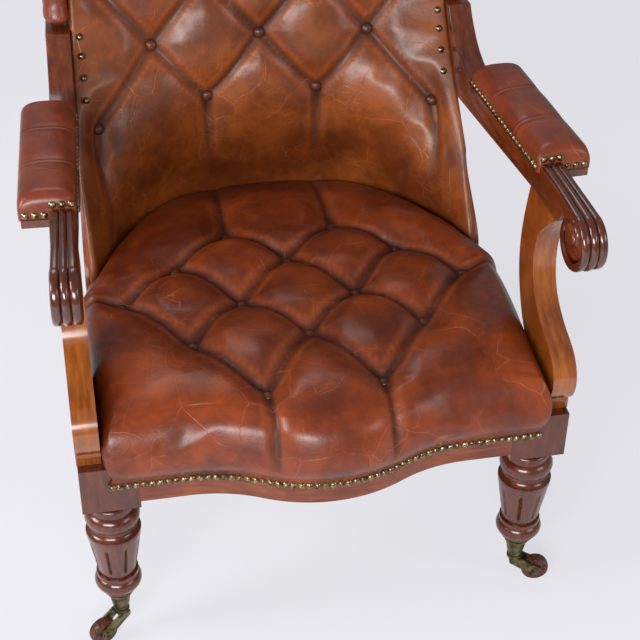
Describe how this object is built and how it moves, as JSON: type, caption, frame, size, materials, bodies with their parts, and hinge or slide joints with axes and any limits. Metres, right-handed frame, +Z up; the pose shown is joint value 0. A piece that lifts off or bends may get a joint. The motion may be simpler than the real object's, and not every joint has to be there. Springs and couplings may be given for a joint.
{
  "type": "button-tufted library armchair",
  "caption": "Deep-buttoned leather armchair with a low curved back, serpentine seat front, scrolled wooden arms on S-shaped supports, turned front legs and brass casters",
  "frame": {"origin": "centre of the chair's bounding box on the floor under the casters", "axes": "+Z up, the chair faces -Y, +X to the sitter's left hand side as seen from behind"},
  "size_m": [0.6876, 0.743, 0.956],
  "materials": {
    "mahogany": "polished",
    "beech_frame": "raw",
    "leather": "waxed",
    "brass_nails": "aged",
    "caster_brass": "aged",
    "caster_wheel": "layered, worn",
    "jute_webbing": "woven",
    "hessian_cloth": "woven",
    "spring_wire": "coppered"
  },
  "bodies": {
    "chair": {"front_rail": "mahogany", "side_rail_left": "mahogany", "side_rail_right": "mahogany", "back_rail": "mahogany", "corner_blocks": "beech_frame", "front_leg_left": "mahogany", "front_leg_right": "mahogany", "rear_leg_left": "mahogany", "rear_leg_right": "mahogany", "back_stile_left": "beech_frame", "back_stile_right": "beech_frame", "crest_rail": "beech_frame", "stuffing_rail": "beech_frame", "arm_support_left": "mahogany", "arm_support_right": "mahogany", "arm_left": "mahogany", "arm_right": "mahogany", "arm_board_left": "mahogany", "arm_board_right": "mahogany", "arm_pad_left": "leather", "arm_pad_right": "leather", "seat_cushion": "leather", "seat_border": "leather", "back_cushion": "leather", "outside_back": "leather", "back_roll_left": "leather", "back_roll_right": "leather", "seat_buttons": "leather", "back_buttons": "leather", "rail_nails": "brass_nails", "pad_nails_left": "brass_nails", "pad_nails_right": "brass_nails", "back_edge_nails": "brass_nails", "seat_webbing": "jute_webbing", "seat_springs": "spring_wire", "seat_hessian": "hessian_cloth", "caster_cup_front_left": "caster_brass", "caster_cup_front_right": "caster_brass", "caster_cup_rear_left": "caster_brass", "caster_cup_rear_right": "caster_brass"},
    "horn_front_left": {"caster_horn_front_left": "caster_brass", "caster_axle_front_left": "caster_brass"},
    "wheel_front_left": {"caster_wheel_front_left": "caster_wheel"},
    "horn_front_right": {"caster_horn_front_right": "caster_brass", "caster_axle_front_right": "caster_brass"},
    "wheel_front_right": {"caster_wheel_front_right": "caster_wheel"},
    "horn_rear_left": {"caster_horn_rear_left": "caster_brass", "caster_axle_rear_left": "caster_brass"},
    "wheel_rear_left": {"caster_wheel_rear_left": "caster_wheel"},
    "horn_rear_right": {"caster_horn_rear_right": "caster_brass", "caster_axle_rear_right": "caster_brass"},
    "wheel_rear_right": {"caster_wheel_rear_right": "caster_wheel"}
  },
  "joints": [
    {"name": "caster_swivel_front_left", "type": "hinge", "parent": "chair", "child": "horn_front_left", "pos_m": [-0.271, -0.273, 0.0466], "axis": [0, 0, 1], "continuous": true},
    {"name": "caster_roll_front_left", "type": "hinge", "parent": "horn_front_left", "child": "wheel_front_left", "pos_m": [-0.29773, -0.28662, 0.019], "axis": [0.454, -0.891, 0], "continuous": true},
    {"name": "caster_swivel_front_right", "type": "hinge", "parent": "chair", "child": "horn_front_right", "pos_m": [0.271, -0.273, 0.0466], "axis": [0, 0, 1], "continuous": true},
    {"name": "caster_roll_front_right", "type": "hinge", "parent": "horn_front_right", "child": "wheel_front_right", "pos_m": [0.30063, -0.27769, 0.019], "axis": [0.1564, 0.9877, 0], "continuous": true},
    {"name": "caster_swivel_rear_left", "type": "hinge", "parent": "chair", "child": "horn_rear_left", "pos_m": [-0.206, 0.25, 0.0466], "axis": [0, 0, 1], "continuous": true},
    {"name": "caster_roll_rear_left", "type": "hinge", "parent": "horn_rear_left", "child": "wheel_rear_left", "pos_m": [-0.22447, 0.27364, 0.019], "axis": [-0.788, -0.6157, 0], "continuous": true},
    {"name": "caster_swivel_rear_right", "type": "hinge", "parent": "chair", "child": "horn_rear_right", "pos_m": [0.206, 0.25, 0.0466], "axis": [0, 0, 1], "continuous": true},
    {"name": "caster_roll_rear_right", "type": "hinge", "parent": "horn_rear_right", "child": "wheel_rear_right", "pos_m": [0.22008, 0.27649, 0.019], "axis": [-0.8829, 0.4695, 0], "continuous": true}
  ]
}
